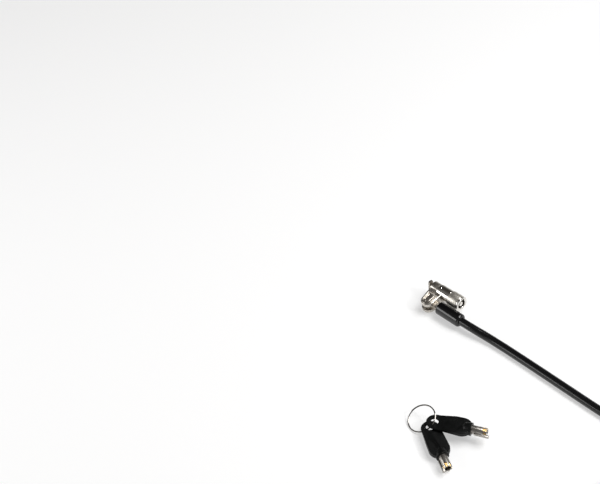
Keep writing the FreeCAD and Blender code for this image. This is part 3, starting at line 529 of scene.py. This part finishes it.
def makeArm():
    shape = copyNode("clevis_block")
    softEdges(shape, armSet["rounding"], 50, 3)
    finish(shape, "armBlock", ["clevis_block"], "clevis", "clevis_nickel", 40)
    # a raised bead inside the arm's edge
    sink = armSet["sink"]
    inset, width, height = armSet["beadInset"], armSet["beadWidth"], armSet["beadHeight"]
    shape = bmesh.new()
    rings = [armOutline(shape, inset + width * share, lift) for share, lift in (
        (0, -sink), (0.25, height), (0.75, height), (1, -sink))]
    for first, second in zip(rings, rings[1:] + rings[:1]):
        bmesh.ops.bridge_loops(shape, edges=first + second)
    placeOnArm(shape, (0, 0))
    finish(shape, "armBead", [], "clevis", "clevis_nickel", 60)
    # a raised rim round the oval
    rim, height = armSet["rimWidth"], armSet["rimHeight"]
    length, width = armSet["ovalLength"], armSet["ovalWidth"]
    shape = bmesh.new()
    rings = [oval(shape, length + grow, width + grow, lift) for grow, lift in (
        (rim * 2, -sink), (rim * 1.6, height), (rim * 0.5, height), (0, -sink))]
    for first, second in zip(rings, rings[1:]):
        bmesh.ops.bridge_loops(shape, edges=first + second)
    bmesh.ops.bridge_loops(shape, edges=rings[-1] + rings[0])
    placeOnArm(shape)
    finish(shape, "ovalRim", [], "clevis", "clevis_nickel", 60)
    # the plate in it: a shallow step and a domed middle
    shape = bmesh.new()
    floor = -armSet["plateDepth"]
    rings = [oval(shape, length + grow, width + grow, floor + lift) for grow, lift in armSet["plateSteps"]]
    for first, second in zip(rings, rings[1:]):
        bmesh.ops.bridge_loops(shape, edges=first + second)
    for ring in (rings[0], rings[-1]):
        bmesh.ops.contextual_create(shape, geom=ring)
    placeOnArm(shape)
    finish(shape, "ovalPlate", ["clevis_inlay"], "clevis", "inlay_nickel", 25)
    shape = copyNode("pivot_pin")
    softEdges(shape, armSet["pinRounding"])
    finish(shape, "pivotPin", ["pivot_pin"], "clevis", "steel")
    shape = copyNode("link_tongue")
    softEdges(shape, armSet["linkRounding"])
    finish(shape, "linkTongue", ["link_tongue"], "link", "steel")


# boot, on its own axis

bootSet = {
    "front": 0.5,
    "shoulder": 1.4,
    "shankHole": 1.5,
    "cable": 2.5,
    "ferrule": 3.4,
    "ferruleStart": 13.2,
    "ferruleEnd": 25.4,
}


def makeBoot():
    (start, frontY, frontZ), (end, backY, backZ) = extent("cable_boot")
    radius = (backZ - frontZ) / 2
    centre = Vector((0, (frontY + backY) / 2, (frontZ + backZ) / 2))
    front, shoulder = bootSet["front"], bootSet["shoulder"]
    hole, cable, ferrule = bootSet["shankHole"], bootSet["cable"], bootSet["ferrule"]
    ferruleStart, ferruleEnd = bootSet["ferruleStart"], bootSet["ferruleEnd"]
    profile = [(start, hole)]
    profile += roundCorner((start + front, radius - front), front, 180, 90)
    profile += roundCorner((end - shoulder, radius - shoulder), shoulder, 90, 0, 9)
    profile += [(end, cable), (ferruleEnd, cable), (ferruleEnd, ferrule), (ferruleStart, ferrule),
                (ferruleStart, hole)]
    shape = turned(profile)
    bmesh.ops.translate(shape, vec=centre, verts=shape.verts)
    finish(shape, "boot", ["cable_boot"], "cable", "black_boot", 40)


# sleeve pressed round the cable and the end of its loop

sleeveSet = {
    "waists": (0.26, 0.5, 0.74),
    "waistWidth": 1.5,
    "waistCuts": (-0.5, -0.3, 0.3, 0.5),
    "waistReach": 0.35,
    "narrow": 0.95,
    "squeeze": 0.90,
    "rounding": 0.4,
}


def makeSleeve():
    shape = copyNode("loop_crimp")
    tail = [Vector(spot) for spot in cableSet["tail"]]
    ahead = (tail[-1] - tail[-2]).normalized()
    aside = Vector((-ahead.y, ahead.x, 0))
    start = tail[-1] - aside * cableSet["strandSpread"]
    for share in sleeveSet["waists"]:
        along = share * cableSet["sleeveLength"]
        for offset in sleeveSet["waistCuts"]:
            spot = start + ahead * (along + offset * sleeveSet["waistWidth"])
            bmesh.ops.bisect_plane(shape, geom=shape.verts[:] + shape.edges[:] + shape.faces[:],
                                   dist=mergeDistance, plane_co=spot, plane_no=ahead)
    for share in sleeveSet["waists"]:
        middle = share * cableSet["sleeveLength"]
        pressed = [vert for vert in shape.verts
                   if abs((vert.co - start).dot(ahead) - middle)
                   < sleeveSet["waistReach"] * sleeveSet["waistWidth"]]
        turn = Matrix((ahead, aside, Vector((0, 0, 1)))).to_4x4()
        bmesh.ops.scale(shape, vec=(1, sleeveSet["narrow"], sleeveSet["squeeze"]), verts=pressed,
                        space=turn @ Matrix.Translation(-start))
    softEdges(shape, sleeveSet["rounding"], 60)
    return finish(shape, "pressedSleeve", ["loop_crimp"], "cable", "crimp_metal", 25)


# keys and their ring

keySet = {
    "places": {1: (68.25, -78.45, -0.4), 2: (68.4, -78.0, -3.8)},
    "headings": {1: 25.5, 2: -28.0},
    "tubeEnd": 33.8,
    "tubeRadius": 2.5,
    "tubeBore": 1.7,
    "cutDepth": 2.8,
    "cutMargins": (0.05, 0.02, 0.08),  # off the bore, the outside and the tip
    "curvedAbove": 0.999,
    "ringCentre": (64.42, -78.31, -3.21),
    "ringTilt": 25.0,
    "ringLean": 8.0,
    "ringRadius": 8.0,
    "wireWidth": 0.72,
    "wireThickness": 0.33,
    "wireEdge": 0.15,
    "pitch": 0.34,
    "turns": 1.93,
    "wireStart": 200.0,
    "stepsPerTurn": 72,
}


def makeKeys():
    for number in (1, 2):
        body = "key_%d" % number
        for node, name, slot, width, limit in (
                ("bow", "Bow", "black_bow", None, None), ("tube", "Tube", "key_nickel", 0.06, 50),
                ("core", "Core", "brass", 0.1, 35)):
            shape = copyNode("%s_%s" % (body, node))
            if width:
                softEdges(shape, width, limit)
            piece = finish(shape, "key%d%s" % (number, name), ["%s_%s" % (body, node)], body, slot)
            if node == "tube":
                bareCuts(piece.data, number)


def bareCuts(mesh, number):
    # the cuts in a key's tip were milled after plating, so they show the brass
    turn = Matrix.Rotation(-math.radians(keySet["headings"][number]), 3, "Z")
    inside, outside, tip = keySet["cutMargins"]
    mesh.materials.append(finishes["brass"])
    for face in mesh.polygons:
        spot = turn @ (face.center / mm - Vector(keySet["places"][number]))
        normal = turn @ face.normal
        outward = Vector((0, spot.y, spot.z))
        radius = outward.length
        inWall = keySet["tubeBore"] + inside < radius < keySet["tubeRadius"] - outside
        inTip = keySet["tubeEnd"] - keySet["cutDepth"] < spot.x < keySet["tubeEnd"] - tip
        if inWall and inTip and abs(normal.dot(outward / radius)) < keySet["curvedAbove"]:
            face.material_index = 1


def makeRing():
    # flat wire wound nearly twice round
    across, thick, pitch = keySet["wireWidth"] / 2, keySet["wireThickness"], keySet["pitch"]
    low = -(thick + pitch * keySet["turns"]) / 2
    shape = bmesh.new()
    edge = keySet["wireEdge"]
    corners = [shape.verts.new((keySet["ringRadius"] + x, 0, low + z)) for x, z in (
        (-across, edge), (edge - across, 0), (across - edge, 0), (across, edge), (across, thick - edge),
        (across - edge, thick), (edge - across, thick), (-across, thick - edge))]
    face = shape.faces.new(corners)
    steps = int(keySet["stepsPerTurn"] * keySet["turns"])
    bmesh.ops.spin(shape, geom=[face], cent=(0, 0, 0), axis=(0, 0, 1),
                   dvec=(0, 0, pitch / keySet["stepsPerTurn"]), angle=2 * math.pi * keySet["turns"],
                   steps=steps)
    for angle, axis in ((keySet["wireStart"], "Z"), (keySet["ringTilt"], "X"), (-keySet["ringLean"], "Y")):
        bmesh.ops.rotate(shape, cent=(0, 0, 0), matrix=Matrix.Rotation(math.radians(angle), 3, axis),
                         verts=shape.verts)
    bmesh.ops.translate(shape, vec=keySet["ringCentre"], verts=shape.verts)
    finish(shape, "splitRing", ["key_ring"], "key_ring", "ring_nickel", 40)


# stage

stageSet = {
    "floorSize": 3.0,
    "floorColour": (0.93, 0.93, 0.93),
    "floorRoughness": 0.7,
    "floorSpecular": 0.1,
    "floorWhite": 0.45,
    "lampAim": (0.06, -0.03, 0),
    "key": {"place": (0.32, 0.42, 0.95), "size": (0.75, 0.75), "power": 11.5},
    "side": {"place": (-0.42, -0.60, 0.27), "size": (0.5, 0.32), "power": 1.9},
    "spark": {"place": (0.60, 0.20, 0.50), "size": (0.1, 0.1), "power": 1.6},
    "skyLow": (0.55, 0.55, 0.55),
    "skyHigh": (0.16, 0.155, 0.15),
    "skyRise": (0.02, 0.55),
    "flagSide": (-0.80, 0.30, 0.52),
    "flagEdge": (0.70, 0.92),
    "flag": (0.045, 0.04, 0.035),
}


def makeFloor():
    shape = bmesh.new()
    bmesh.ops.create_grid(shape, x_segments=1, y_segments=1, size=stageSet["floorSize"] / 2)
    bmesh.ops.translate(shape, verts=shape.verts, vec=(0, 0, tableHeight))
    mesh = bpy.data.meshes.new("floor")
    shape.to_mesh(mesh)
    shape.free()
    floor = bpy.data.objects.new("floor", mesh)
    bpy.context.scene.collection.objects.link(floor)
    recipe = Recipe("floor")
    recipe.set(colour=stageSet["floorColour"], roughness=stageSet["floorRoughness"],
               specular=stageSet["floorSpecular"])
    seen = recipe.add("ShaderNodeLightPath", {}, {}, "Is Camera Ray")
    seen = seen + recipe.add("ShaderNodeLightPath", {}, {}, "Is Glossy Ray")
    white = recipe.add("ShaderNodeEmission", {}, {"Color": (1, 1, 1, 1), "Strength": 1.0})
    bare = Amount(recipe, recipe.shader.outputs[0])
    mixed = recipe.add("ShaderNodeMixShader", {}, {0: seen * stageSet["floorWhite"], 1: bare, 2: white})
    recipe.feed(recipe.tree.nodes["Material Output"].inputs["Surface"], mixed)
    mesh.materials.append(recipe.material)


def addLamp(name):
    lamp = stageSet[name]
    data = bpy.data.lights.new(name, "AREA")
    data.shape = "RECTANGLE"
    data.size, data.size_y = lamp["size"]
    data.energy = lamp["power"]
    light = bpy.data.objects.new(name, data)
    bpy.context.scene.collection.objects.link(light)
    place = Vector(lamp["place"])
    aim = (Vector(stageSet["lampAim"]) - place).to_track_quat("-Z", "Y")
    light.matrix_world = Matrix.Translation(place) @ aim.to_matrix().to_4x4()


def makeSky():
    # pale round the horizon, darker overhead and darkest behind the lock
    world = bpy.data.worlds.new("studio")
    bpy.context.scene.world = world
    world.use_nodes = True
    recipe = Recipe("studio", world)
    spot = recipe.add("ShaderNodeTexCoord", {}, {}, "Generated")
    height = recipe.add("ShaderNodeSeparateXYZ", {}, {0: spot}, "Z")
    sky = recipe.blend(recipe.band(height, *stageSet["skyRise"]), stageSet["skyLow"], stageSet["skyHigh"])
    side = Vector(stageSet["flagSide"]).normalized()
    near = recipe.add("ShaderNodeVectorMath", {"operation": "DOT_PRODUCT"}, {0: spot, 1: side}, "Value")
    colour = recipe.blend(recipe.band(near, *stageSet["flagEdge"]), sky, stageSet["flag"])
    recipe.feed(recipe.shader.inputs["Color"], colour)


aimCamera()
crimpPiece = makeSleeve()
makeCable()
print("camera and cable")
makeHead()
print("head")
makeArm()
makeBoot()
print("arm and boot")
makeKeys()
makeRing()
print("keys and ring")
makeFloor()
for lampName in ("key", "side", "spark"):
    addLamp(lampName)
makeSky()
bpy.context.scene.view_settings.view_transform = "Standard"
print("stage")
